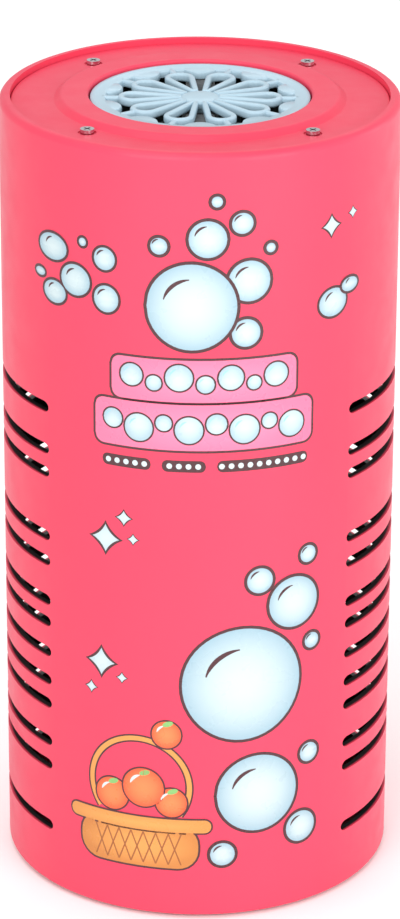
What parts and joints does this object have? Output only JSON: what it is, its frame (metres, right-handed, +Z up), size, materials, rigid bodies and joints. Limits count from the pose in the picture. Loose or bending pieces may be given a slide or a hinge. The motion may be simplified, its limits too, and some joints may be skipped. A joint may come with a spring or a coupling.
{
  "type": "bubble machine",
  "caption": "Upright cylindrical toy bubble machine with a geared rotating petal wheel in a recessed top, a fan duct, slotted sides and a sprung power button.",
  "frame": {"origin": "centre of the footprint, on the surface that the feet stand on", "axes": "+Z up along the casing, front with the stickers faces -Y, power button faces +Y"},
  "size_m": [0.11, 0.1101, 0.226],
  "materials": {
    "casing_pink": "smooth glossy moulded plastic",
    "wheel_pale": "smooth pale blue-grey moulded plastic",
    "inner_dark": "plain dark moulded plastic",
    "button_white": "smooth white plastic",
    "gear_plastic": "natural acetal",
    "brass": "turned",
    "steel": "ground",
    "screw_steel": "bright nickel plated",
    "motor_can": "drawn sheet",
    "contact_metal": "nickel plated spring strip",
    "felt": "pressed felt",
    "rubber_dark": "soft moulded rubber",
    "board_green": "solder mask on glass fibre board",
    "component_black": "moulded plastic",
    "led_clear": "clear cast resin",
    "fan_grey": "moulded plastic",
    "cell_jacket": "shrink film",
    "wire_red": "PVC insulation",
    "sticker_pink": "printed vinyl",
    "sticker_white": "printed vinyl",
    "sticker_tan": "printed vinyl"
  },
  "bodies": {
    "housing": {"outer_shell": "casing_pink", "top_cover": "casing_pink", "base_cover": "casing_pink", "solution_tray": "inner_dark", "air_guides": "inner_dark", "air_duct": "inner_dark", "gearbox_base": "inner_dark", "gearbox_cover": "inner_dark", "fan_frame": "inner_dark", "shaft_bushes": "brass", "idler_pins": "steel", "door_hinge_pin": "steel", "top_screws": "screw_steel", "duct_screws": "screw_steel", "gearbox_screws": "screw_steel", "pod_screws": "screw_steel", "fan_screws": "screw_steel", "box_screws": "screw_steel", "base_screws": "screw_steel", "board_screws": "screw_steel", "drive_motor": "motor_can", "fan_motor": "motor_can", "box_contacts": "contact_metal", "wiper_felts": "felt", "duct_gasket": "rubber_dark", "rubber_feet": "rubber_dark", "led_board": "board_green", "main_board": "board_green", "switch_board": "board_green", "board_components": "component_black", "power_switch": "component_black", "battery_box": "component_black", "leds": "led_clear", "batteries": "cell_jacket", "wire_harness": "wire_red", "plaque_sticker": "sticker_pink", "bubble_stickers": "sticker_white", "sparkle_stickers": "sticker_white", "garden_sticker": "sticker_tan"},
    "wheel": {"bubble_wheel": "wheel_pale", "wheel_shaft": "steel", "output_gear": "gear_plastic"},
    "second_idler_body": {"second_idler": "gear_plastic"},
    "first_idler_body": {"first_idler": "gear_plastic"},
    "pinion": {"motor_pinion": "brass", "motor_shaft": "steel"},
    "fan": {"fan_impeller": "fan_grey", "fan_shaft": "steel"},
    "door": {"battery_door": "casing_pink", "door_contacts": "contact_metal", "door_screw": "screw_steel"},
    "button": {"power_button": "button_white", "switch_plunger": "button_white"}
  },
  "joints": [
    {"name": "wheel_spin", "type": "hinge", "parent": "housing", "child": "wheel", "pos_m": [0, 0, 0.2], "axis": [0, 0, 1], "continuous": true},
    {"name": "second_idler_spin", "type": "hinge", "parent": "housing", "child": "second_idler_body", "pos_m": [0.013, 0, 0.17], "axis": [0, 0, 1], "continuous": true},
    {"name": "first_idler_spin", "type": "hinge", "parent": "housing", "child": "first_idler_body", "pos_m": [0.00775, 0.00909, 0.167], "axis": [0, 0, 1], "continuous": true},
    {"name": "pinion_spin", "type": "hinge", "parent": "housing", "child": "pinion", "pos_m": [-0.00199, 0.01303, 0.165], "axis": [0, 0, 1], "continuous": true},
    {"name": "fan_spin", "type": "hinge", "parent": "housing", "child": "fan", "pos_m": [0, 0, 0.115], "axis": [0, 0, 1], "continuous": true},
    {"name": "door_hinge", "type": "hinge", "parent": "housing", "child": "door", "pos_m": [0, -0.0197, 0.00225], "axis": [-1, 0, 0], "range_deg": [0, 100]},
    {"name": "button_press", "type": "slide", "parent": "housing", "child": "button", "axis": [0, -1, 0], "range_m": [0, 0.0012], "stiffness_N_per_m": 1500}
  ],
  "couplings": [
    {"joint": "second_idler_spin", "follows": "wheel_spin", "ratio": -3.3333},
    {"joint": "first_idler_spin", "follows": "wheel_spin", "ratio": 8.3333},
    {"joint": "pinion_spin", "follows": "wheel_spin", "ratio": -20.833}
  ]
}
